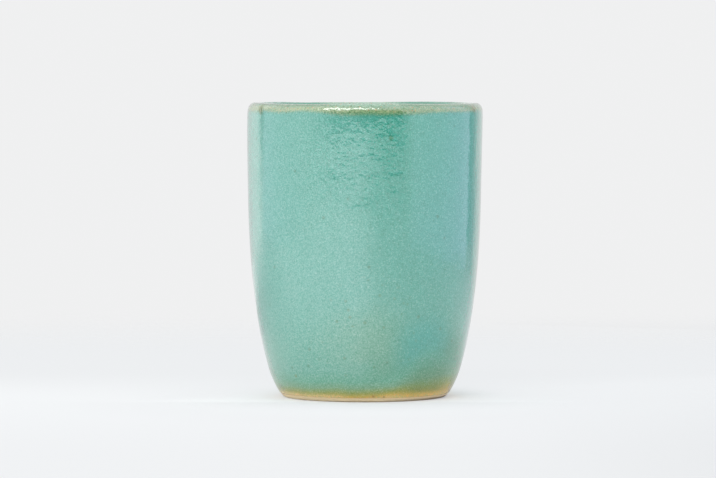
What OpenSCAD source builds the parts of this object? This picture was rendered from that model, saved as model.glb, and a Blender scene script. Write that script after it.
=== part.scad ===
// Wheel-thrown stoneware tumbler without a handle: one turned clay body under three fired coats of glaze.
// The origin is the centre of the foot, on the surface that the cup stands on, with +Z up.
// All sizes are in millimetres. Every coat is laid on the same outline that the clay is turned from.

/* [Clay body] */
// Height of the clay, from the table to the crest of the lip
body_h = 100; // [80:0.1:130]
// Outer diameter of the clay at the lip
lip_d = 79.4; // [70:0.1:100]
// Outer diameter of the upright wall, above the lower curve
belly_d = 78.3; // [66:0.1:96]
// Height at which the lower curve runs out into the upright wall
belly_h = 67; // [45:0.1:85]
// Height at which the wall begins to lean out towards the lip
lean_h = 54; // [40:0.5:70]
// Fullness of the lower curve: larger values give a fuller belly
belly_power = 1.9; // [1.4:0.01:2.6]
// Roundness of the heel: larger values turn in more sharply above the foot
heel_power = 1.57; // [1.2:0.01:2.4]

/* [Wall and floor] */
// Thickness of the clay wall at the lip
lip_wall = 4; // [3:0.1:6]
// Thickness of the clay wall level with the foot
heel_wall = 6; // [4:0.1:8]
// Height of the rounded edge of the lip
lip_round = 2.6; // [1.5:0.1:4]
// Thickness of the clay floor, above the recess under it
floor_t = 5; // [3.5:0.1:8]
// Height over which the floor curves up into the wall
bowl_h = 22; // [14:0.5:32]
// Squareness of that curve: 2 is an ellipse, larger values give a flatter floor
bowl_power = 2.7; // [2:0.1:4]

/* [Foot] */
// Diameter on which the outside of the foot leaves the table
foot_d = 54.5; // [40:0.5:64]
// Width of the flat ring that the cup stands on
foot_ring_w = 5; // [3:0.1:8]
// Depth of the recess that is turned out of the underside
recess_h = 2.2; // [1:0.1:4]
// Radius in the corner of the recess
recess_fillet = 1.2; // [0.4:0.1:2]
// Rounding of the inner edge of the foot ring
ring_edge = 0.8; // [0.3:0.1:1.2]

/* [Glaze] */
// Thickness of the glaze on the wall
glaze_t = 0.5; // [0.3:0.05:1]
// Thickness of the glaze on the crest of the lip, where it ran thin
lip_glaze_t = 0.3; // [0.15:0.05:0.6]
// Thickness of the glaze at its lower edge
glaze_edge_t = 0.2; // [0.1:0.05:0.4]
// Thickness of the glaze that pooled in the middle of the floor
pool_t = 1.4; // [0.6:0.1:3]
// Height of the bare clay between the table and the glaze
glaze_line_h = 1.2; // [0.8:0.1:10]
// Height over which the glaze thickens above its lower edge
glaze_fade_h = 8; // [2:0.5:20]
// Height above the floor at which the pooled glaze thins to the wall's thickness
pool_h = 6; // [2:0.5:12]
// Length of straight wall below the rounded lip that the lip's coat laps over
lip_lap = 2.4; // [1:0.1:5]

/* [Hidden] */
$fn = 120;

lip_r = lip_d / 2;
belly_r = belly_d / 2;
foot_r = foot_d / 2;
floor_z = recess_h + floor_t;
bowl_top_z = floor_z + bowl_h;
shoulder_z = body_h - lip_round;
seam_z = shoulder_z - lip_lap;

// Number of steps in each stretch of the outline
foot_steps = 4;
heel_steps = 7;
wall_steps = 30;
lip_steps = 18;
bore_steps = 14;
bowl_steps = 16;
// How far the steps of the wall crowd together towards the foot, where it curves most
wall_crowding = 1.6;

clay_colour = [0.80, 0.69, 0.52];
glaze_colour = [0.40, 0.68, 0.60];
lip_colour = [0.66, 0.69, 0.55];
liner_colour = [0.36, 0.66, 0.57];

function clamp01(t) = max(0, min(1, t));
function ease(t) = let (c = clamp01(t)) c * c * (3 - 2 * c);
function mix(a, b, t) = a + (b - a) * t;

// Outside of the clay: a superelliptic curve up from the foot, then a slight lean out to an upright lip
function lower_curve(z) = pow(1 - pow(1 - clamp01(z / belly_h), belly_power), 1 / heel_power);
function lean(z) = ease((z - lean_h) / (shoulder_z - lean_h));
function outer_r(z) = mix(foot_r, belly_r, lower_curve(z)) + (lip_r - belly_r) * lean(z);

// Inside of the clay: the outside less a wall that thickens downwards, closed by a rounded bowl
function wall_t(z) = mix(heel_wall, lip_wall, z / shoulder_z);
function bowl_share(z) = pow(1 - pow(1 - clamp01((z - floor_z) / bowl_h), bowl_power), 1 / bowl_power);
function inner_r(z) = (outer_r(z) - wall_t(z)) * bowl_share(z);

// Points of an arc about a centre, from one angle to another
function arc(centre, r, from, to, steps) =
    [for (i = [0:steps]) let (a = mix(from, to, i / steps)) centre + r * [cos(a), sin(a)]];

// Underside, from the axis out to the foot: the recess, its corner and the rounded edge of the ring
ring_inner_r = foot_r - foot_ring_w;
recess_r = ring_inner_r - ring_edge;
underside = concat(
    [[0, recess_h]],
    arc([recess_r - recess_fillet, recess_h - recess_fillet], recess_fillet, 90, 0, foot_steps),
    arc([ring_inner_r, ring_edge], ring_edge, 180, 270, foot_steps)
);

// Outline that the coats follow, from the foot over the lip to the middle of the floor
heel = [for (i = [0:heel_steps - 1])
    let (z = glaze_line_h * (1 - cos(90 * i / heel_steps))) [outer_r(z), z]];
wall = [for (i = [0:wall_steps - 1])
    let (z = mix(glaze_line_h, seam_z, pow(i / wall_steps, wall_crowding))) [outer_r(z), z]];
lip_mid_r = (outer_r(shoulder_z) + inner_r(shoulder_z)) / 2;
lip_half_w = outer_r(shoulder_z) - lip_mid_r;
lip = concat(
    [[outer_r(seam_z), seam_z]],
    [for (i = [0:lip_steps]) let (a = 180 * i / lip_steps)
        [lip_mid_r + lip_half_w * cos(a), shoulder_z + lip_round * sin(a)]]
);
bore = [for (i = [0:bore_steps - 1])
    let (z = mix(seam_z, bowl_top_z, i / bore_steps)) [inner_r(z), z]];
bowl = [for (i = [0:bowl_steps])
    let (z = floor_z + bowl_h * (1 - sin(90 * i / bowl_steps))) [inner_r(z), z]];
skin = concat(heel, wall, lip, bore, bowl);

// Where each coat begins and ends on that outline
glaze_start = len(heel);
lip_start = glaze_start + len(wall);
lip_end = lip_start + len(lip);
floor_end = len(skin) - 1;

// Direction out of the clay at a point of the outline
function unit(v) = v / norm(v);
function skin_normal(i) = i == floor_end
    ? [0, 1]
    : let (d = skin[min(i + 1, floor_end)] - skin[max(i - 1, 0)]) unit([d[1], -d[0]]);

// Thickness of each coat at a point of the outline
function outer_coat_t(p) = mix(glaze_edge_t, glaze_t, ease((p[1] - glaze_line_h) / glaze_fade_h));
function lip_coat_t(p) = mix(lip_glaze_t, glaze_t, ease((body_h - p[1]) / (body_h - seam_z)));
function liner_coat_t(p) = mix(pool_t, glaze_t, ease((p[1] - floor_z) / pool_h));

// A coat over part of the outline: its face, and back along the clay
module turn_coat(first, last, thickness) {
    rotate_extrude()
        polygon(concat(
            [for (i = [first:last]) skin[i] + thickness(skin[i]) * skin_normal(i)],
            [for (i = [last:-1:first]) skin[i]]
        ));
}

// The thrown and turned pot: foot ring, heel, wall, lip, bore and floor are one piece of clay
module stoneware_body() {
    color(clay_colour)
        rotate_extrude()
            polygon(concat(underside, skin));
}

// Glaze on the outside, thin at its lower edge above the bare foot
module outer_glaze() {
    color(glaze_colour)
        turn_coat(glaze_start, lip_start, function (p) outer_coat_t(p));
}

// Glaze over the lip, where the two coats meet and run thin on the edge
module lip_glaze() {
    color(lip_colour)
        turn_coat(lip_start, lip_end, function (p) lip_coat_t(p));
}

// Glaze poured into the inside, pooled on the floor
module liner_glaze() {
    color(liner_colour)
        turn_coat(lip_end, floor_end, function (p) liner_coat_t(p));
}

stoneware_body();
outer_glaze();
lip_glaze();
liner_glaze();
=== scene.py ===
import math
from types import SimpleNamespace

import bmesh
import bpy
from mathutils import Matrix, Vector


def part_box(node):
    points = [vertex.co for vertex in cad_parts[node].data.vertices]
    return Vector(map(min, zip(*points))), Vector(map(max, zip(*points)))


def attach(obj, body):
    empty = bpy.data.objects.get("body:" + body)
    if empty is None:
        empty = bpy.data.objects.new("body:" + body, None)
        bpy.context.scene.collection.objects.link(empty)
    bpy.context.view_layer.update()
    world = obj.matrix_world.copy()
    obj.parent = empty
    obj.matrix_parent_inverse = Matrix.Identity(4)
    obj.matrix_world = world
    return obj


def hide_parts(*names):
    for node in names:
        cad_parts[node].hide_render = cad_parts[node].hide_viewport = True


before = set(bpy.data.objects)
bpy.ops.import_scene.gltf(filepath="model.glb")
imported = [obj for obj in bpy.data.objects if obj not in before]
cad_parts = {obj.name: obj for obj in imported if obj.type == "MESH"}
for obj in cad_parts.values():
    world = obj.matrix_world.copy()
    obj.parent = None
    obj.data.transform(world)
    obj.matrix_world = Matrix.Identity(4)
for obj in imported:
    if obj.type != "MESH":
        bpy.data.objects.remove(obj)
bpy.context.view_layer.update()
bpy.context.scene.view_settings.view_transform = "Standard"


# Stoneware body: one lump of buff clay, thrown on the wheel and then turned upside down, when the foot
# ring and the shallow recess inside it were cut. Glaze covers it down to a line just above the table, so
# only the heel, the foot ring and the recess show bare clay.
clay_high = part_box("stoneware_body")[1]
body_h = clay_high.z
lip_r = clay_high.x
belly_r = 0.03915
belly_h = 0.067
belly_power = 1.9
heel_power = 1.57
lean_h = 0.054
lip_wall = 0.004
heel_wall = 0.006
lip_round = 0.0026
lip_lap = 0.0024
floor_t = 0.005
bowl_h = 0.022
bowl_power = 2.7
foot_r = 0.02725
foot_ring_w = 0.005
recess_h = 0.0022
recess_fillet = 0.0012
ring_edge = 0.0008
glaze_line_h = 0.0012
floor_z = recess_h + floor_t
bowl_top_z = floor_z + bowl_h
shoulder_z = body_h - lip_round
seam_z = shoulder_z - lip_lap
lip_mid_r = lip_r - lip_wall / 2
ring_inner_r = foot_r - foot_ring_w
recess_r = ring_inner_r - ring_edge

# Steps in each stretch of the outline and round the cup, and how far they crowd towards a stretch's start
heel_steps = 14
heel_crowding = 1.8
wall_steps = 170
wall_crowding = 1.3
lap_steps = 7
lip_steps = 30
bore_steps = 90
bowl_steps = 48
recess_steps = 16
corner_steps = 8
ring_steps = 6
steps_around = 400

# Hidden under the glaze, the clay takes longer steps from this many steps above the glaze's lower edge
fine_steps = 40
hidden_step = 3

# Points closer together than this are welded, and folds sharper than this stay sharp
weld_gap = 1e-6
crease_angle = math.radians(35)

# What the thrower's hand left, with the cup's height and a fixed seed: how far the lip waves, dips, peaks,
# leans, tilts and shifts, how far the wall is out of round, the spiral inside, and how much of its room
# the glaze's lower edge wanders through
hand = {
    "Cup Height": body_h,
    "Lip Lobes": 0.00015,
    "Lip Dip": 0.0002,
    "Lip Peak": 0.0003,
    "Lip Lean": 0.00012,
    "Lip Tilt": 0.00003,
    "Lip Wave": 0.0001,
    "Lip Shift": 0.0003,
    "Out Of Round": 0.001,
    "Ring Depth": 0.0001,
    "Ring Pitch": 0.0075,
    "Line Wave": 1.6,
    "Seed": 3.0,
}


def mix(a, b, t):
    return a + (b - a) * t


def clamp(t):
    return max(0.0, min(1.0, t))


def ease(t):
    return clamp(t) ** 2 * (3 - 2 * clamp(t))


def outer_radius(z):
    curve = (1 - (1 - clamp(z / belly_h)) ** belly_power) ** (1 / heel_power)
    lean = ease((z - lean_h) / (shoulder_z - lean_h))
    return mix(foot_r, belly_r, curve) + (lip_r - belly_r) * lean


def inner_radius(z):
    wall = mix(heel_wall, lip_wall, z / shoulder_z)
    bowl = (1 - (1 - clamp((z - floor_z) / bowl_h)) ** bowl_power) ** (1 / bowl_power)
    return (outer_radius(z) - wall) * bowl


def along_wall(radius, start, stop, steps, crowding=1.0):
    """Points (r, z) of a wall from one height to just before another, crowded towards the start."""
    heights = [mix(start, stop, (i / steps) ** crowding) for i in range(steps)]
    return [Vector((radius(z), z)) for z in heights]


def arc(centre, reach, start, stop, steps):
    """Points (r, z) on an arc of a circle or an ellipse, with the angles in degrees."""
    angles = [math.radians(mix(start, stop, i / steps)) for i in range(steps + 1)]
    return [Vector((centre[0] + reach[0] * math.cos(a), centre[1] + reach[1] * math.sin(a)))
            for a in angles]


def clay_skin(line_h):
    """The outline of the clay from the foot over the lip to the middle of the floor, and where the coats
    begin and end on it, with the glaze's lower edge at this height."""
    heel = along_wall(outer_radius, 0, line_h, heel_steps, heel_crowding)
    wall = along_wall(outer_radius, line_h, seam_z, wall_steps, wall_crowding)
    lip = along_wall(outer_radius, seam_z, shoulder_z, lap_steps)
    lip += arc((lip_mid_r, shoulder_z), (lip_wall / 2, lip_round), 0, 180, lip_steps)
    lip += along_wall(inner_radius, shoulder_z, seam_z, lap_steps)[1:]
    bore = along_wall(inner_radius, seam_z, bowl_top_z, bore_steps)
    bowl_heights = [p.y for p in arc((0, bowl_top_z), (0, bowl_h), 0, -90, bowl_steps)]
    bowl = [Vector((inner_radius(z), z)) for z in bowl_heights]
    bowl[-1] = Vector((0, floor_z))
    points = heel + wall + lip + bore + bowl
    marks = {
        "line": len(heel),
        "outer_seam": len(heel + wall),
        "inner_seam": len(heel + wall + lip),
        "floor": len(points) - 1,
    }
    return points, marks


def feed(tree, value, socket):
    """Links a socket, or sets a plain value, on a node's input."""
    if isinstance(value, bpy.types.NodeSocket):
        tree.links.new(value, socket)
    else:
        socket.default_value = value


def node(tree, kind, inputs=(), **settings):
    """A new node with its settings, and its inputs linked or set by name or place."""
    made = tree.nodes.new(kind)
    for key, value in settings.items():
        setattr(made, key, value)
    for key, value in dict(inputs).items():
        feed(tree, value, made.inputs[key])
    return made


def calc(tree, operation, *values):
    """One step of arithmetic."""
    return node(tree, "ShaderNodeMath", enumerate(values), operation=operation).outputs[0]


def product(tree, value, *factors):
    """A value multiplied by one factor after another."""
    for factor in factors:
        value = calc(tree, "MULTIPLY", value, factor)
    return value


def wheel_tree():
    """Turns an outline about the cup's axis, with the small faults of a hand-thrown pot."""
    tree = bpy.data.node_groups.new("potters_wheel", "GeometryNodeTree")
    inputs = [("Outline", "Geometry"), ("Stations", "Int"), ("Steps Around", "Int")]
    inputs += [(name, "Float") for name in hand]
    inputs += [("Finish", "Material")]
    for name, kind in inputs:
        tree.interface.new_socket(name, in_out="INPUT", socket_type="NodeSocket" + kind)
    tree.interface.new_socket("Turned", in_out="OUTPUT", socket_type="NodeSocketGeometry")
    given = tree.nodes.new("NodeGroupInput").outputs

    # Each point of a grid is one station of the outline at one step round the cup
    index = node(tree, "GeometryNodeInputIndex").outputs[0]
    station = calc(tree, "MODULO", index, given["Stations"])
    mid_index = calc(tree, "ADD", index, 0.5)
    step = calc(tree, "FLOOR", calc(tree, "DIVIDE", mid_index, given["Stations"]))
    share_round = calc(tree, "DIVIDE", step, given["Steps Around"])
    angle = calc(tree, "MULTIPLY", share_round, math.tau)
    across = calc(tree, "COSINE", angle)
    away = calc(tree, "SINE", angle)

    def wander(quickness, offset):
        """A slow random value about 0 that closes on itself once round the cup."""
        place = node(tree, "ShaderNodeCombineXYZ", {"X": across, "Y": away}).outputs[0]
        noise = node(tree, "ShaderNodeTexNoise", {
            "Vector": place, "W": calc(tree, "ADD", given["Seed"], offset), "Scale": quickness,
            "Detail": 2.0, "Roughness": 0.5}, noise_dimensions="4D")
        return calc(tree, "SUBTRACT", noise.outputs[0], 0.5)

    def lobes(count, phase):
        """A value from -1 to 1 with this many high places round the cup."""
        return calc(tree, "COSINE", calc(tree, "MULTIPLY_ADD", angle, float(count), phase))

    def towards(bearing, power):
        """A value of 1 at one place round the cup that falls to 0 on both sides of it."""
        off_by = calc(tree, "SUBTRACT", angle, bearing)
        nearness = calc(tree, "MAXIMUM", calc(tree, "COSINE", off_by), 0.0)
        return calc(tree, "POWER", nearness, power)

    def at_station(kind, field):
        """A value of the outline at this row of the grid."""
        return node(tree, "GeometryNodeSampleIndex", {
            "Geometry": given["Outline"], "Value": field, "Index": station},
            data_type=kind, domain="POINT", clamp=True).outputs[0]

    def named(kind, name):
        """An attribute of the outline."""
        return node(tree, "GeometryNodeInputNamedAttribute", {"Name": name}, data_type=kind).outputs[0]

    # The glaze's lower edge lies somewhere between its lowest and its highest outline
    low = at_station("FLOAT_VECTOR", node(tree, "GeometryNodeInputPosition").outputs[0])
    high = at_station("FLOAT_VECTOR", named("FLOAT_VECTOR", "line_raised"))
    ring_share = at_station("FLOAT", named("FLOAT", "ring_share"))
    rise = calc(tree, "MULTIPLY_ADD", wander(quickness=1.3, offset=7.0), given["Line Wave"], 0.5)
    settled = node(tree, "ShaderNodeMix", {"Factor": rise, 4: low, 5: high}, data_type="VECTOR").outputs[1]
    parts = node(tree, "ShaderNodeSeparateXYZ", {0: settled}).outputs
    radius = parts["X"]
    height = parts["Z"]

    # Sideways: out of round further up, the thrower's spiral inside, and the lip shifted to the right
    share_up = calc(tree, "DIVIDE", height, given["Cup Height"])
    bulge = product(tree, lobes(count=2, phase=0.9), given["Out Of Round"], share_up)
    radius = calc(tree, "MULTIPLY", radius, calc(tree, "ADD", bulge, 1.0))
    rings_up = calc(tree, "DIVIDE", height, given["Ring Pitch"])
    climb = calc(tree, "MULTIPLY", rings_up, math.tau)
    spiral = calc(tree, "SINE", calc(tree, "ADD", angle, climb))
    ring = product(tree, spiral, given["Ring Depth"], ring_share)
    near_rim = calc(tree, "POWER", share_up, 12.0)
    shift = product(tree, across, given["Lip Shift"], near_rim)
    radius = calc(tree, "ADD", calc(tree, "ADD", radius, ring), shift)

    # Upwards: waves of the lip, high at the far left, low at the back left and a little lower in front
    lip_lobes = product(tree, lobes(count=4, phase=-3.42), away, given["Lip Lobes"])
    peak = calc(tree, "MULTIPLY_ADD", towards(bearing=math.pi, power=8.0), given["Lip Peak"], lip_lobes)
    dip = calc(tree, "MULTIPLY", towards(bearing=2.17, power=64.0), given["Lip Dip"])
    to_front = calc(tree, "MULTIPLY_ADD", away, -0.5, 0.5)
    lean = calc(tree, "POWER", to_front, 2.0)
    sag = calc(tree, "MULTIPLY_ADD", lean, given["Lip Lean"], dip)
    uneven = calc(tree, "SUBTRACT", peak, sag)
    tilt = calc(tree, "MULTIPLY_ADD", across, given["Lip Tilt"], uneven)
    lip_rise = calc(tree, "MULTIPLY_ADD", wander(quickness=1.6, offset=0.0), given["Lip Wave"], tilt)
    near_lip = calc(tree, "POWER", share_up, 6.0)
    height = calc(tree, "MULTIPLY_ADD", lip_rise, near_lip, height)

    turned = node(tree, "ShaderNodeCombineXYZ", {
        "X": calc(tree, "MULTIPLY", radius, across),
        "Y": calc(tree, "MULTIPLY", radius, away),
        "Z": height}).outputs[0]
    grid = node(tree, "GeometryNodeMeshGrid", {
        "Vertices X": calc(tree, "ADD", given["Steps Around"], 1.0),
        "Vertices Y": given["Stations"]}).outputs[0]
    shaped = node(tree, "GeometryNodeSetPosition", {"Geometry": grid, "Position": turned}).outputs[0]
    welded = node(tree, "GeometryNodeMergeByDistance", {
        "Geometry": shaped, "Distance": weld_gap}).outputs[0]
    whole = node(tree, "GeometryNodeRealizeInstances", {"Geometry": welded}).outputs[0]
    finished = node(tree, "GeometryNodeSetMaterial", {
        "Geometry": whole, "Material": given["Finish"]}).outputs[0]
    tree.links.new(finished, tree.nodes.new("NodeGroupOutput").inputs[0])
    return tree


potters_wheel = wheel_tree()


def turn(name, outline, finish, raised=None, ring_share=None):
    """A closed piece turned from an outline of (r, z) points that ends where it starts, or on the axis. It
    can also take the outline with the glaze's lower edge raised, and each point's share of the spiral."""
    mesh = bpy.data.meshes.new(name)
    edges = [(i, i + 1) for i in range(len(outline) - 1)]
    mesh.from_pydata([(p.x, 0, p.y) for p in outline], edges, [])
    lifted = mesh.attributes.new("line_raised", "FLOAT_VECTOR", "POINT")
    for stop, p in zip(lifted.data, raised or outline):
        stop.vector = (p.x, 0, p.y)
    rings = mesh.attributes.new("ring_share", "FLOAT", "POINT")
    for stop, share in zip(rings.data, ring_share or [0.0] * len(outline)):
        stop.value = share
    piece = bpy.data.objects.new(name, mesh)
    bpy.context.scene.collection.objects.link(piece)
    wheel = piece.modifiers.new("wheel", "NODES")
    wheel.node_group = potters_wheel
    settings = {**hand, "Stations": len(outline), "Steps Around": steps_around, "Finish": finish}
    for socket in potters_wheel.interface.items_tree:
        if socket.in_out == "INPUT" and socket.name in settings:
            wheel[socket.identifier] = settings[socket.name]
    evaluated = piece.evaluated_get(bpy.context.evaluated_depsgraph_get())
    turned = bpy.data.meshes.new_from_object(evaluated)
    piece.modifiers.remove(wheel)
    piece.data = turned
    bm = bmesh.new()
    bm.from_mesh(turned)
    bmesh.ops.recalc_face_normals(bm, faces=bm.faces)
    bm.to_mesh(turned)
    bm.free()
    turned.shade_smooth()
    turned.set_sharp_from_angle(angle=crease_angle)
    return piece


def srgb(red, green, blue):
    """A colour as seen on screen, from 0 to 255, in the linear values that a shader takes."""
    def linear(v):
        return v / 255 / 12.92 if v < 10.3 else ((v / 255 + 0.055) / 1.055) ** 2.4
    return (linear(red), linear(green), linear(blue), 1.0)


def ramp(tree, factor, stops):
    """Colours along a factor, as (place, colour) pairs in order."""
    made = node(tree, "ShaderNodeValToRGB", {0: factor})
    points = made.color_ramp.elements
    while len(points) < len(stops):
        points.new(1.0)
    for point, (place, colour) in zip(points, stops):
        point.position = place
        point.color = colour
    return made.outputs[0]


def remap(tree, value, low, high, to_low=0.0, to_high=1.0):
    """A value eased from one range to another, and held at its ends."""
    return node(tree, "ShaderNodeMapRange", {
        "Value": value, "From Min": low, "From Max": high, "To Min": to_low, "To Max": to_high},
        interpolation_type="SMOOTHSTEP").outputs[0]


def grain(tree, place, size, detail=2.0, roughness=0.5):
    """Random values from 0 to 1 in spots of about this size in metres."""
    return node(tree, "ShaderNodeTexNoise", {
        "Vector": place, "Scale": 1 / size, "Detail": detail, "Roughness": roughness}).outputs[0]


def specks(tree, place, spacing, size, share):
    """A mask of separate round specks: how far apart, how large, and how much of the surface has any."""
    near = node(tree, "ShaderNodeTexVoronoi", {"Vector": place, "Scale": 1 / spacing}).outputs["Distance"]
    dot = remap(tree, near, size / spacing / 2, size / spacing / 4)
    patchy = grain(tree, place, 2.5 * spacing)
    return product(tree, dot, remap(tree, patchy, 0.62 - 0.25 * share, 0.66 - 0.25 * share))


def tint(tree, under, over, factor):
    """One colour laid over another by a factor."""
    return node(tree, "ShaderNodeMix", {"Factor": factor, 6: under, 7: over}, data_type="RGBA").outputs[2]


def measure(tree, operation, *places):
    """One step of vector arithmetic that gives a number."""
    return node(tree, "ShaderNodeVectorMath", enumerate(places), operation=operation).outputs["Value"]


def from_axis(tree, place):
    """The level way from the cup's axis to a place, and its length."""
    level = node(tree, "ShaderNodeVectorMath", {0: place, 1: (1, 1, 0)}, operation="MULTIPLY").outputs[0]
    return level, measure(tree, "LENGTH", level)


def new_finish(name):
    """A new material, its node tree, its shader, the place on the piece, and that place's X, Y and Z."""
    finish = bpy.data.materials.new(name)
    finish.use_nodes = True
    tree = finish.node_tree
    place = node(tree, "ShaderNodeTexCoord").outputs["Object"]
    axes = node(tree, "ShaderNodeSeparateXYZ", {0: place}).outputs
    return finish, tree, tree.nodes["Principled BSDF"], place, axes


buff_clay = [(0.3, srgb(250, 231, 194)), (0.7, srgb(254, 239, 206))]
sand_colour = srgb(214, 190, 156)
iron_brown = srgb(96, 62, 38)
toasted_clay = srgb(222, 188, 128)
# Painted shadow along the lower edge of the foot
foot_shadow_brown = srgb(122, 92, 56)
clay_ior = 1.45
turning_pitch = 0.0009
turning_relief = 0.00012


def bare_clay():
    """Buff stoneware: pale and sandy, toasted just under the glaze, with iron specks and turning marks,
    and with a painted shadow along the very edge of the foot, darkest on the right."""
    finish, tree, shader, place, axes = new_finish("bare_clay")
    rightward = axes["X"]
    height = axes["Z"]
    radius = from_axis(tree, place)[1]
    cloud = grain(tree, place, size=0.006)
    sand = grain(tree, place, size=0.0005, detail=3.0, roughness=0.7)
    clay = ramp(tree, cloud, buff_clay)
    clay = tint(tree, clay, sand_colour, remap(tree, sand, 0.4, 0.75, 0.0, 0.28))
    clay = tint(tree, clay, iron_brown, specks(tree, place, spacing=0.0022, size=0.0005, share=0.3))
    uneven = calc(tree, "MULTIPLY_ADD", cloud, 0.0008, height)
    clay = tint(tree, clay, toasted_clay, remap(tree, uneven, 0.0011, 0.0020, 0.0, 0.65))
    # Painted contact shadow at the foot's lower edge, deeper towards the right, with a thin line at its
    # very edge
    right_foot_shadow = remap(tree, height, 0.0012, 0.0003)
    right_foot_shadow = product(tree, right_foot_shadow, remap(tree, rightward, 0.002, 0.028, 0.03, 0.76))
    edge = remap(tree, height, 0.0004, 0.0001)
    edge = product(tree, edge, remap(tree, rightward, -0.018, -0.002, 0.1, 0.38))
    clay = tint(tree, clay, foot_shadow_brown, calc(tree, "MAXIMUM", right_foot_shadow, edge))
    tree.links.new(clay, shader.inputs["Base Color"])
    tree.links.new(remap(tree, sand, 0.2, 0.8, 0.72, 0.9), shader.inputs["Roughness"])
    shader.inputs["IOR"].default_value = clay_ior
    lathe = calc(tree, "SINE", calc(tree, "MULTIPLY", radius, math.tau / turning_pitch))
    turning = calc(tree, "MULTIPLY_ADD", lathe, 0.25, sand)
    bump = node(tree, "ShaderNodeBump", {"Height": turning, "Strength": 0.5, "Distance": turning_relief})
    tree.links.new(bump.outputs[0], shader.inputs["Normal"])
    return finish


fillet_centre = (recess_r - recess_fillet, recess_h - recess_fillet)
underside = [Vector((recess_r * i / recess_steps, recess_h)) for i in range(recess_steps)]
underside += arc(fillet_centre, (recess_fillet, recess_fillet), 90, 0, corner_steps)
underside += arc((ring_inner_r, ring_edge), (ring_edge, ring_edge), 180, 270, corner_steps)
underside += [Vector((mix(ring_inner_r, foot_r, i / ring_steps), 0)) for i in range(1, ring_steps)]
skin, mark = clay_skin(glaze_line_h)
shown = mark["line"] + fine_steps
clay_outline = underside + skin[:shown] + skin[shown:-1:hidden_step] + [skin[-1]]
stoneware_body = turn("stoneware_body_clay", clay_outline, bare_clay())
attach(stoneware_body, "root")
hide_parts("stoneware_body")


# Outer glaze: the blue-green coat that the outside was dipped in, fused to the clay. It is about half a
# millimetre thick, ends in a thin rolled edge above the foot, and turns olive and ochre where it thins.
glaze_t = 0.0005
glaze_edge_t = 0.0002
glaze_fade_h = 0.008
glaze_roll = 0.0004
line_drop = 0.0002
line_rise = 0.0005
ochre_h = 0.0015
low_h = 0.012
lip_break_h = 0.006
glaze_ior = 1.75

# The side that was dipped last, and patches of the wall: a paler painted reflection of the floor low in
# front, where the coat is thick, two of painted shade low on the right, and freckles
dipped_last = (0.82, -0.57, 0)
floor_reflection_patch = (-0.0015, -0.0360, 0.0200)
thick_patch = (0.021, -0.029, 0.018)
right_shade_patch = (0.0212, -0.0235, 0.0055)
edge_shade_patch = (0.0312, -0.0169, 0.0150)
freckled_patch = (0.0, -0.036, 0.024)

# Colours of the wall by share of its height, and of the coat over the lowest 12 mm and the topmost 6 mm
wall_colours = [
    (0.07, srgb(76, 156, 127)), (0.18, srgb(78, 160, 134)), (0.32, srgb(79, 165, 145)),
    (0.55, srgb(79, 167, 149)), (0.92, srgb(73, 168, 147))]
foot_colours = [
    (0.10, srgb(240, 210, 136)), (0.16, srgb(216, 180, 76)), (0.21, srgb(182, 168, 60)),
    (0.27, srgb(150, 160, 72)), (0.34, srgb(134, 164, 102)), (0.42, srgb(114, 167, 130)),
    (0.60, srgb(95, 170, 142))]
lip_colours = [
    (0.04, srgb(130, 172, 148)), (0.14, srgb(128, 167, 138)), (0.26, srgb(132, 167, 124)),
    (0.36, srgb(136, 168, 120)), (0.46, srgb(116, 161, 118)), (0.58, srgb(92, 153, 118)),
    (0.74, srgb(80, 156, 128))]
milky_glaze = srgb(115, 185, 171)
# Painted reflection of the floor, low in front
floor_reflection_glaze = srgb(128, 178, 154)
thick_glaze = srgb(52, 164, 154)
pale_ochre = srgb(250, 226, 172)
toasted_lip = srgb(176, 194, 160)
tan_glaze = srgb(206, 180, 134)
olive_glaze = srgb(98, 116, 66)
rusty_fleck = srgb(206, 138, 78)
crest_green = srgb(66, 106, 64)
# Deep green of the coat inside the lip, darkened there as painted shade
inner_green_and_shade = srgb(46, 134, 106)
dust_colour = srgb(204, 226, 214)
iron_green = srgb(56, 112, 72)
freckle_green = srgb(84, 126, 78)
pale_speck = srgb(196, 216, 204)

# Dyes that darken or lighten what is under them; the first and the last paint shade on the right
right_shade_dye = (0.60, 0.76, 0.68, 1)
ochre_dye = (0.95, 0.94, 0.78, 1)
edge_shade_dye = (0.74, 0.86, 0.84, 1)
mottle_dyes = [(0.30, (0.86, 0.94, 0.92, 1)), (0.50, (1.0, 1.0, 1.0, 1)), (0.72, (1.14, 1.05, 1.07, 1))]
dust_dyes = [(0.28, (0.52, 0.77, 0.69, 1)), (0.50, (1.0, 1.0, 1.0, 1)), (0.72, (1.62, 1.20, 1.32, 1))]

# Single spots where iron in the clay came through: place, size, depth and colour
rust_spots = [
    ((-0.0351, -0.0196, 0.0979), 0.0023, 0.8, srgb(56, 112, 62)),
    ((-0.0354, -0.0188, 0.0989), 0.0026, 0.9, srgb(92, 118, 46)),
    ((0.0370, -0.0158, 0.0987), 0.0024, 0.65, srgb(122, 112, 58)),
    ((0.0087, -0.0391, 0.0889), 0.0012, 0.85, srgb(48, 130, 90)),
    ((-0.0231, -0.0226, 0.0085), 0.0009, 0.55, srgb(100, 128, 64)),
    ((0.0029, -0.0293, 0.0021), 0.0008, 0.7, srgb(170, 124, 26)),
    ((0.0065, -0.0287, 0.0016), 0.0008, 0.7, srgb(170, 124, 26))]


def normals(points):
    """Directions out of the clay at each point of its outline."""
    found = []
    for i in range(len(points)):
        step = points[min(i + 1, len(points) - 1)] - points[max(i - 1, 0)]
        found.append(Vector((step.y, -step.x)).normalized())
    found[-1] = Vector((0, 1))
    return found


def coat(points, first, last, thickness, back_step=6):
    """The outline of a coat over part of the clay: along the clay in long steps, then back over its face.
    It is closed, or starts and ends on the axis."""
    out = normals(points)
    face = [points[i] + out[i] * thickness(points[i]) for i in range(first, last + 1)]
    back = points[last:first:-back_step] + [points[first]]
    return back + face if back[0].x == 0 else back + face + [back[0]]


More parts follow.
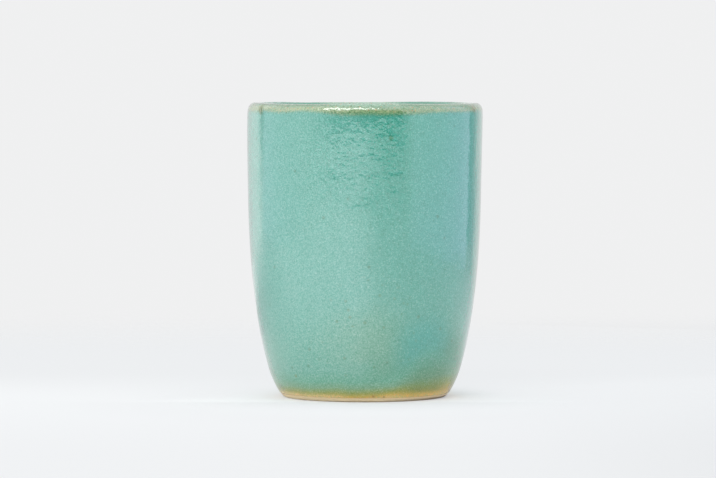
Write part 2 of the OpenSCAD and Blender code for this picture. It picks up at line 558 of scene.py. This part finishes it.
def outer_coat(line_h):
    """The outline of the outer coat, with its lower edge at this height."""
    points, marks = clay_skin(line_h)

    def thickness(p):
        rolled = math.sqrt(1 - (1 - clamp((p.y - line_h) / glaze_roll)) ** 2)
        return mix(glaze_edge_t, glaze_t, ease((p.y - line_h) / glaze_fade_h)) * rolled
    return coat(points, marks["line"], marks["outer_seam"], thickness)


def stain(tree, under, dye):
    """A colour multiplied by another, as a dye or a shadow darkens it."""
    return node(tree, "ShaderNodeMix", {"Factor": 1.0, 6: under, 7: dye}, data_type="RGBA",
                blend_type="MULTIPLY").outputs[2]


def near_spot(tree, place, spot, inner, outer):
    """A soft round patch of the surface about a spot."""
    return remap(tree, measure(tree, "DISTANCE", place, spot), outer, inner)


def glaze_map(tree, place, height):
    """The patterns and the parts of the cup that the glaze's colours follow, as sockets."""
    on = SimpleNamespace(place=place, height=height)
    on.cloud = grain(tree, place, size=0.016, detail=3.0)
    on.mottle = grain(tree, place, size=0.0012, roughness=0.6)
    on.dust = grain(tree, place, size=0.00044, roughness=0.6)
    on.cloud_swing = calc(tree, "SUBTRACT", on.cloud, 0.5)
    dust_swing = calc(tree, "SUBTRACT", on.dust, 0.5)
    fine_uneven = calc(tree, "MULTIPLY", dust_swing, 0.0020)
    on.uneven = calc(tree, "MULTIPLY_ADD", on.cloud_swing, 0.0018, fine_uneven)
    level, on.radius = from_axis(tree, place)
    on.facing = node(tree, "ShaderNodeVectorMath", {0: level}, operation="NORMALIZE").outputs[0]
    on.rightward = node(tree, "ShaderNodeSeparateXYZ", {0: on.facing}).outputs["X"]
    on.aside = calc(tree, "ABSOLUTE", on.rightward)
    on.below_crest = calc(tree, "SUBTRACT", body_h, calc(tree, "ADD", height, on.uneven))
    return on


def colour_wall(tree, on):
    """The body of the coat: milky on the left, a painted floor reflection low in front, thick low on the
    right.
    """
    colour = ramp(tree, calc(tree, "DIVIDE", on.height, body_h), wall_colours)
    drift = calc(tree, "MULTIPLY_ADD", on.cloud_swing, 0.3, on.rightward)
    colour = tint(tree, colour, milky_glaze, remap(tree, drift, 0.16, -0.12, 0.0, 0.58))
    # Painted reflection of the floor: a paler patch low in front
    thin = near_spot(tree, on.place, floor_reflection_patch, inner=0.004, outer=0.021)
    thin = product(tree, thin, remap(tree, on.cloud, 0.3, 0.6, 0.2, 0.5))
    colour = tint(tree, colour, floor_reflection_glaze, thin)
    thick = near_spot(tree, on.place, thick_patch, inner=0.004, outer=0.016)
    return tint(tree, colour, thick_glaze, product(tree, thick, 0.6))


def break_at_foot(tree, on, colour, low_colours):
    """Above the foot the coat breaks to the low colours, further up on the side that was dipped last."""
    dip_side = measure(tree, "DOT_PRODUCT", on.facing, dipped_last)
    drawn_out = remap(tree, dip_side, 0.74, 0.96, 1.0, 0.54)
    above_ochre = calc(tree, "MAXIMUM", calc(tree, "SUBTRACT", on.height, ochre_h), 0.0)
    in_ochre = calc(tree, "MINIMUM", on.height, ochre_h)
    above_foot = calc(tree, "MULTIPLY_ADD", above_ochre, drawn_out, in_ochre)
    above_foot = calc(tree, "ADD", above_foot, on.uneven)
    above_foot = calc(tree, "SUBTRACT", above_foot, remap(tree, on.rightward, 0.5, 0.9, 0.0, 0.0006))
    slant = remap(tree, on.rightward, -0.2, 0.2, 0.00035, -0.00035)
    slant = product(tree, slant, remap(tree, on.rightward, 0.5, 0.35))
    above_foot = calc(tree, "ADD", above_foot, slant)
    low = ramp(tree, calc(tree, "DIVIDE", above_foot, low_h), low_colours)
    colour = tint(tree, low, colour, remap(tree, above_foot, low_h / 2, low_h))

    # Painted shade low on the right, just above the ochre
    dark = near_spot(tree, on.place, right_shade_patch, inner=0.004, outer=0.014)
    dark = product(tree, dark, remap(tree, on.height, 0.0022, 0.0036))
    colour = tint(tree, colour, stain(tree, colour, right_shade_dye), dark)
    ochre_right = remap(tree, on.rightward, 0.2, 0.45)
    ochre_right = product(tree, ochre_right, remap(tree, on.height, 0.0052, 0.0036))
    colour = tint(tree, colour, stain(tree, colour, ochre_dye), ochre_right)
    ochre_left = remap(tree, on.rightward, -0.1, -0.4, 0.0, 0.42)
    ochre_left = product(tree, ochre_left, remap(tree, on.height, 0.0030, 0.0018))
    colour = tint(tree, colour, pale_ochre, ochre_left)
    # Painted shade on the right, further round towards the right-hand edge
    edge = near_spot(tree, on.place, edge_shade_patch, inner=0.003, outer=0.012)
    return tint(tree, colour, stain(tree, colour, edge_shade_dye), edge)


def break_on_lip(tree, on, colour):
    """On the lip the coat breaks to sage and tan, with rusty flecks, and stays deep green inside,
    with painted shade there on the sides.
    """
    lip = ramp(tree, calc(tree, "DIVIDE", on.below_crest, lip_break_h), lip_colours)
    toasted = remap(tree, on.rightward, 0.05, -0.35, 0.0, 0.42)
    toasted = product(tree, toasted, remap(tree, on.below_crest, 0.0002, 0.0012))
    lip = tint(tree, lip, toasted_lip, toasted)
    off_front = calc(tree, "ABSOLUTE", calc(tree, "SUBTRACT", on.rightward, 0.08))
    lip_end = calc(tree, "ADD", on.below_crest, remap(tree, off_front, 0.22, 0.62, 0.0, 0.0012))
    colour = tint(tree, lip, colour, remap(tree, lip_end, 0.0028, 0.0045))

    rust = product(tree, remap(tree, on.dust, 0.48, 0.68), remap(tree, on.cloud, 0.35, 0.6, 0.15, 0.4))
    rust = product(tree, rust, remap(tree, on.below_crest, 0.0025, 0.0017))
    rust = product(tree, rust, remap(tree, on.aside, 0.2, 0.5, 0.4, 1.0))
    colour = tint(tree, colour, tan_glaze, rust)
    olive = remap(tree, on.dust, 0.46, 0.34, 0.0, 0.6)
    olive = product(tree, olive, remap(tree, on.below_crest, 0.0044, 0.0030))
    colour = tint(tree, colour, olive_glaze, olive)
    flecks = product(tree, specks(tree, on.place, spacing=0.0012, size=0.0006, share=0.9), 0.65)
    flecks = product(tree, flecks, remap(tree, on.below_crest, 0.0026, 0.0020))
    colour = tint(tree, colour, rusty_fleck, flecks)

    on_lip = remap(tree, on.height, seam_z - 0.004, seam_z)
    on_sides = product(tree, on_lip, remap(tree, on.aside, 0.15, 0.4))
    crest_r = calc(tree, "MULTIPLY_ADD", on.rightward, -0.0004, on.radius)
    past_crest = remap(tree, crest_r, lip_mid_r + 0.0003, lip_mid_r + 0.0008)
    short_of_edge = remap(tree, crest_r, lip_mid_r + 0.0019, lip_mid_r + 0.0013)
    colour = tint(tree, colour, crest_green, product(tree, past_crest, short_of_edge, on_sides, 0.5))
    # Inside the lip: deep green, with painted shade, strongest on the sides and weaker at the front and
    # back
    off_back = calc(tree, "ABSOLUTE", calc(tree, "ADD", on.rightward, 0.04))
    inner_side = remap(tree, on.radius, lip_mid_r + 0.0002, lip_mid_r - 0.0006)
    inner_side = product(tree, inner_side, on_lip, remap(tree, off_back, 0.24, 0.46, 0.1, 1.0))
    inner_side = product(tree, inner_side, remap(tree, on.rightward, 0.78, 0.88, 1.0, 0.5))
    return tint(tree, colour, inner_green_and_shade, inner_side)


def speckle(tree, on, colour):
    """All over are fine mottling and dust, a few iron specks and fewer pale ones, with freckles low in
    front and the rust spots in their places."""
    for spot, size, depth, rust_colour in rust_spots:
        rusty = near_spot(tree, on.place, spot, inner=0.25 * size, outer=size)
        colour = tint(tree, colour, rust_colour, product(tree, rusty, depth))
    colour = stain(tree, colour, ramp(tree, on.mottle, mottle_dyes))
    dusty = stain(tree, colour, ramp(tree, on.dust, dust_dyes))
    dusty = tint(tree, dusty, dust_colour, remap(tree, on.dust, 0.52, 0.76, 0.0, 0.2))
    colour = tint(tree, colour, dusty, remap(tree, on.below_crest, 0.0020, 0.0036, 0.45, 1.0))
    iron = specks(tree, on.place, spacing=0.0056, size=0.0016, share=0.5)
    colour = tint(tree, colour, iron_green, product(tree, iron, 0.4))
    freckles = product(tree, specks(tree, on.place, spacing=0.0034, size=0.0015, share=0.9), 0.40)
    freckles = product(tree, freckles, near_spot(tree, on.place, freckled_patch, inner=0.008, outer=0.026))
    colour = tint(tree, colour, freckle_green, freckles)
    return tint(tree, colour, pale_speck, specks(tree, on.place, spacing=0.0120, size=0.0007, share=0.2))


def celadon(name, low_colours):
    """Glossy blue-green glaze, mottled, and thin on the lip, where the clay and its iron show through.
    The low colours are what it turns to over the lowest 12 mm."""
    finish, tree, shader, place, axes = new_finish(name)
    on = glaze_map(tree, place, axes["Z"])
    colour = colour_wall(tree, on)
    colour = break_at_foot(tree, on, colour, low_colours)
    colour = break_on_lip(tree, on, colour)
    colour = speckle(tree, on, colour)
    tree.links.new(colour, shader.inputs["Base Color"])
    tree.links.new(remap(tree, on.mottle, 0.2, 0.8, 0.05, 0.09), shader.inputs["Roughness"])
    shader.inputs["IOR"].default_value = glaze_ior
    shader.inputs["Coat Weight"].default_value = 1.0
    shader.inputs["Coat IOR"].default_value = glaze_ior
    shader.inputs["Coat Roughness"].default_value = 0.03
    peel = grain(tree, place, size=0.0013, detail=1.0, roughness=0.4)
    swell = grain(tree, place, size=0.0110, roughness=0.55)
    surface = calc(tree, "MULTIPLY_ADD", swell, 3.8, peel)
    relief = remap(tree, on.below_crest, 0.0034, 0.0022, 0.000052, 0.00017)
    bump = node(tree, "ShaderNodeBump", {"Height": surface, "Strength": 1.0, "Distance": relief})
    tree.links.new(bump.outputs[0], shader.inputs["Coat Normal"])
    tree.links.new(bump.outputs[0], shader.inputs["Normal"])
    return finish


outer_glaze = turn("outer_glaze_coat", outer_coat(glaze_line_h - line_drop),
                   celadon("outer_glaze", foot_colours), raised=outer_coat(glaze_line_h + line_rise))
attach(outer_glaze, "root")
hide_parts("outer_glaze")


# Lip glaze: the same glaze over the rounded lip, where the outer and the inner coat meet. It ran thin
# there in the kiln, so that the clay shows through it in tan and olive.
lip_glaze_t = 0.0003


def lip_thickness(p):
    return mix(lip_glaze_t, glaze_t, ease((body_h - p.y) / (body_h - seam_z)))


lip_outline = coat(skin, mark["outer_seam"], mark["inner_seam"], lip_thickness, back_step=3)
lip_glaze = turn("lip_glaze_coat", lip_outline, celadon("lip_glaze", foot_colours))
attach(lip_glaze, "root")
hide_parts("lip_glaze")


# Liner glaze: the coat that was poured into the cup and tipped out again. It pooled a little deeper in the
# middle of the dished floor, and follows the spiral that the thrower's fingers left in the wall.
pool_t = 0.0014
pool_h = 0.006
ring_fade_h = 0.01
pool_colours = [(0.70, srgb(66, 156, 138)), (0.95, srgb(86, 168, 148))]


def liner_thickness(p):
    return mix(pool_t, glaze_t, ease((p.y - floor_z) / pool_h))


liner_outline = coat(skin, mark["inner_seam"], mark["floor"], liner_thickness)
liner_rings = [ease((p.y - floor_z) / bowl_h) * ease((seam_z - p.y) / ring_fade_h) for p in liner_outline]
liner_glaze = turn("liner_glaze_coat", liner_outline, celadon("liner_glaze", pool_colours),
                   ring_share=liner_rings)
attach(liner_glaze, "root")
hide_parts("liner_glaze")


# Table: a round of white paper that the cup stands on. It keeps the cup's shadow, is burnt out to an even
# white away from it, and fades out behind, so that no horizon shows. It is shaded behind the cup, to its
# right and far to its left, and the glaze mirrors it darker close to the foot and at the back left.
table_r = 2.2
table_centre = (0, -1.7, 0)
table_sides = 128
table_fade = (0.2, 0.5)
lit_paper = (0.88, 0.88, 0.88, 1)
shaded_paper = (0.62, 0.62, 0.62, 1)
paper_underfoot = (0.33, 0.30, 0.25, 1)
paper_left_back = (0.3, 0.3, 0.3, 1)
# Painted shadow in front of the cup
front_shadow_paper = (0.76, 0.76, 0.76, 1)
unlit_paper = (0, 0, 0, 1)
burnt_white = (0.962, 0.982, 1.0, 1)


def white_paper():
    """Matt paper that glows white where it is burnt out, and takes light and shadow for the rest."""
    finish, tree, shader, place, axes = new_finish("white_paper")
    across = axes["X"]
    back = axes["Y"]
    radius = measure(tree, "LENGTH", place)
    path = node(tree, "ShaderNodeLightPath").outputs
    mirrored = path["Is Glossy Ray"]

    # How far it is burnt out: less in the cup's shadow, which spreads wider in front and is painted
    # lighter to the left of the foot, and in the glaze only away from the cup
    far_share = remap(tree, radius, 0.06, 0.16, 0.0, 0.3)
    far_share = product(tree, far_share, remap(tree, back, -0.05, 0.10, 1.0, 0.3))
    far_share = calc(tree, "ADD", far_share, remap(tree, back, -0.8, -1.8, 0.0, 0.6))
    seen = calc(tree, "MAXIMUM", path["Is Camera Ray"], path["Is Transmission Ray"])
    seen = calc(tree, "MAXIMUM", seen, product(tree, mirrored, far_share))
    shadow_end = remap(tree, back, -0.03, 0.0, 0.10, 0.055)
    left_side = product(tree, remap(tree, across, 0.01, -0.025), remap(tree, back, -0.02, 0.01))
    shadow_white = calc(tree, "MULTIPLY_ADD", left_side, 0.25, 0.35)
    burnt_out = product(tree, seen, remap(tree, radius, 0.028, shadow_end, shadow_white, 0.8))

    # The paper itself with its painted shade, darker where only the glaze sees it, and a painted shadow in
    # front of the cup that only the camera sees
    shaded = remap(tree, back, -0.02, 0.12)
    shaded = calc(tree, "MAXIMUM", shaded, remap(tree, across, 0.0, 0.15, 0.0, 0.8))
    shaded = calc(tree, "MAXIMUM", shaded, remap(tree, across, -0.75, -1.3, 0.0, 0.6))
    paper = tint(tree, lit_paper, shaded_paper, shaded)
    underfoot = product(tree, mirrored, remap(tree, radius, 0.16, 0.06))
    underfoot = product(tree, underfoot, remap(tree, across, -0.04, 0.02, 0.32, 0.45))
    paper = tint(tree, paper, paper_underfoot, underfoot)
    left_back = product(tree, remap(tree, across, -0.06, -0.13), remap(tree, back, -0.06, 0.01))
    left_back = product(tree, left_back, remap(tree, radius, 0.42, 0.26, 0.0, 0.46), mirrored)
    paper = tint(tree, paper, paper_left_back, left_back)
    # Painted shadow in front of the cup, seen only by the camera
    front_shadow = product(tree, remap(tree, back, -0.022, -0.032), remap(tree, radius, 0.13, 0.045))
    paper = tint(tree, paper, front_shadow_paper, product(tree, front_shadow, path["Is Camera Ray"]))
    tree.links.new(tint(tree, paper, unlit_paper, burnt_out), shader.inputs["Base Color"])
    shader.inputs["Roughness"].default_value = 0.9
    shader.inputs["Specular IOR Level"].default_value = 0.0
    shader.inputs["Emission Color"].default_value = burnt_white
    white = remap(tree, back, -0.25, 0.05, 0.83, 0.90)
    white = calc(tree, "ADD", white, remap(tree, back, -0.8, -1.8, 0.0, 0.17))
    tree.links.new(product(tree, burnt_out, white), shader.inputs["Emission Strength"])
    tree.links.new(remap(tree, back, *table_fade, 1.0, 0.0), shader.inputs["Alpha"])
    return finish


table_mesh = bpy.data.meshes.new("table")
bm = bmesh.new()
bmesh.ops.create_circle(bm, cap_ends=True, segments=table_sides, radius=table_r)
bmesh.ops.translate(bm, verts=bm.verts, vec=table_centre)
bm.to_mesh(table_mesh)
bm.free()
table_mesh.materials.append(white_paper())
table = bpy.data.objects.new("table", table_mesh)
bpy.context.scene.collection.objects.link(table)


# Studio: a white tent that is open at the front. Cards stand round the cup for its glaze to mirror: the
# tent's side walls, a dim gap behind each, its back, and the dark room in front. A soft light hangs in
# front, up and to the left, and a wide lamp overhead, which the glaze does not mirror.
tent_white = (0.868, 0.872, 0.876, 1)
white_wall = (0.90, 0.91, 0.93)
cool_wall = (0.81, 0.89, 0.98)
blue_wall = (0.82, 0.90, 1.12)
sky_wall = (0.92, 0.97, 1.06)
left_gap = (0.46, 0.47, 0.48)
left_haze = (0.62, 0.64, 0.66)
back_soft = (0.86, 0.87, 0.88)
back_bright = (1.14, 1.12, 1.12)
back_dim = (0.74, 0.74, 0.74)
back_end = (0.72, 0.72, 0.72)
right_gap = (0.31, 0.42, 0.48)
right_low = (0.55, 0.60, 0.64)
gap_end = (0.40, 0.45, 0.49)
right_back = (0.76, 0.76, 0.76)
dim_room = (0.17, 0.17, 0.17)
mid_room = (0.12, 0.12, 0.12)
dark_room = (0.08, 0.08, 0.08)
low_start = (0.50, 0.50, 0.50)
low_stop = (0.27, 0.27, 0.27)

# Lower and upper edges of the cards, as how far off and how high, and the bearings of the two gaps
left_foot = (0.6, 0.001)
left_haze_foot = (0.6, 0.055)
left_gap_foot = (0.6, 0.075)
left_head = (0.6, 0.6)
right_foot = (0.4, 0.001)
right_gap_foot = (0.4, 0.02)
right_head = (0.4, 0.4)
room_foot = (3.1, 0.001)
room_head = (3.1, 1.7)
far_foot = (3.2, 0.001)
far_head = (3.2, 1.75)
low_foot = (1.65, 0.001)
low_head = (1.65, 0.033)
left_gap_start = -114.2
left_gap_stop = -119.8
right_gap_start = 118.8
right_gap_stop = 128.4

world = bpy.data.worlds.new("tent")
bpy.context.scene.world = world
world.use_nodes = True
world.node_tree.nodes["Background"].inputs["Color"].default_value = tent_white


def card(name, start, stop, foot, head, start_colour, stop_colour):
    """A glowing card that the camera does not see, between two bearings in degrees from the camera's line,
    and between a lower and an upper edge."""
    finish = bpy.data.materials.new(name)
    finish.use_nodes = True
    tree = finish.node_tree
    tree.nodes.clear()
    shade = node(tree, "ShaderNodeAttribute", attribute_name="shade").outputs["Color"]
    glow = node(tree, "ShaderNodeEmission", {"Color": shade})
    tree.links.new(glow.outputs[0], node(tree, "ShaderNodeOutputMaterial").inputs[0])
    corners = [(far * math.sin(math.radians(a)), -far * math.cos(math.radians(a)), z)
               for far, z in (foot, head) for a in (start, stop)]
    mesh = bpy.data.meshes.new(name)
    mesh.from_pydata(corners, [], [(0, 1, 3, 2)])
    shades = mesh.attributes.new("shade", "FLOAT_COLOR", "POINT")
    for point, colour in zip(shades.data, 2 * [start_colour, stop_colour]):
        point.color = (*colour, 1)
    mesh.materials.append(finish)
    made = bpy.data.objects.new(name, mesh)
    made.visible_camera = False
    bpy.context.scene.collection.objects.link(made)


def cards_in_row(foot, head, bearing, colour, stops):
    """Cards that each start where the last one stopped, as (name, bearing, colour) of their stops."""
    for name, stop, stop_colour in stops:
        card(name, bearing, stop, foot, head, colour, stop_colour)
        bearing = stop
        colour = stop_colour


card("left_wall", -56.3, left_gap_start, left_foot, left_head, white_wall, cool_wall)
card("left_gap", left_gap_start, left_gap_stop, left_gap_foot, left_head, left_gap, left_gap)
card("left_haze", left_gap_start, left_gap_stop, left_haze_foot, left_gap_foot, left_haze, left_haze)
card("left_low", left_gap_start, left_gap_stop, left_foot, left_haze_foot, cool_wall, back_soft)
cards_in_row(left_foot, left_head, left_gap_stop, back_soft, [
    ("left_turn", -126, back_bright), ("left_back", -150, back_dim), ("left_end", -172, back_end)])
cards_in_row(right_foot, right_head, 43.7, sky_wall, [
    ("right_wall", 104, blue_wall), ("right_turn", right_gap_start, blue_wall)])
card("right_gap", right_gap_start, right_gap_stop, right_gap_foot, right_head, right_gap, gap_end)
card("right_low", right_gap_start, right_gap_stop, right_foot, right_gap_foot, right_low, right_low)
cards_in_row(right_foot, right_head, right_gap_stop, gap_end, [
    ("right_back", 141.4, right_back), ("right_end", 172, back_end)])
cards_in_row(room_foot, room_head, -58, white_wall, [
    ("room_edge", -25, dim_room), ("room_left", 2, mid_room)])
cards_in_row(far_foot, far_head, 2, mid_room, [
    ("room_middle", 20, dark_room), ("room_right", 35, dark_room), ("right_edge", 45.7, sky_wall)])
card("room_low", 19, 37.5, low_foot, low_head, low_start, low_stop)


def softbox(name, bearing, up, far, width, tall, radiance, mirrored=True):
    """A rectangular lamp aimed at the cup from a bearing and a height in degrees, unseen by the camera."""
    light = bpy.data.lights.new(name, "AREA")
    light.shape = "RECTANGLE"
    light.size = width
    light.size_y = tall
    light.energy = radiance * math.pi * width * tall
    lamp = bpy.data.objects.new(name, light)
    round_by = math.radians(bearing)
    up_by = math.radians(up)
    level = math.cos(up_by)
    outward = Vector((level * math.sin(round_by), -level * math.cos(round_by), math.sin(up_by)))
    lamp.location = far * outward
    lamp.rotation_euler = (-lamp.location).to_track_quat("-Z", "Y").to_euler()
    lamp.visible_camera = False
    lamp.visible_glossy = mirrored
    bpy.context.scene.collection.objects.link(lamp)


softbox("front_light", bearing=-19, up=49, far=1.8, width=1.34, tall=0.40, radiance=3.8)
softbox("top_light", bearing=0, up=80, far=1.2, width=1.6, tall=1.2, radiance=1.25, mirrored=False)


# Camera: a long lens, a little above the lip, straight in front of the cup. It is aimed so that the cup's
# axis and the middle of its foot fall on their column and row of the photograph, at its scale.
photo_w = 716
photo_h = 478
axis_scale = 2928
camera_far = 1.43
camera_up = 0.113
foot_row = 395.75
axis_column = 364.5
sensor_w = 36
focal_px = axis_scale * camera_far
camera_data = bpy.data.cameras.new("camera")
camera_data.sensor_width = sensor_w
camera_data.lens = focal_px / photo_w * sensor_w
camera = bpy.data.objects.new("camera", camera_data)
tilt = math.atan2(camera_up, camera_far) - math.atan2(foot_row - photo_h / 2, focal_px)
camera.location = (-(axis_column - photo_w / 2) / focal_px * camera_far, -camera_far, camera_up)
camera.rotation_euler = (math.pi / 2 - tilt, 0, 0)
bpy.context.scene.collection.objects.link(camera)
bpy.context.scene.camera = camera
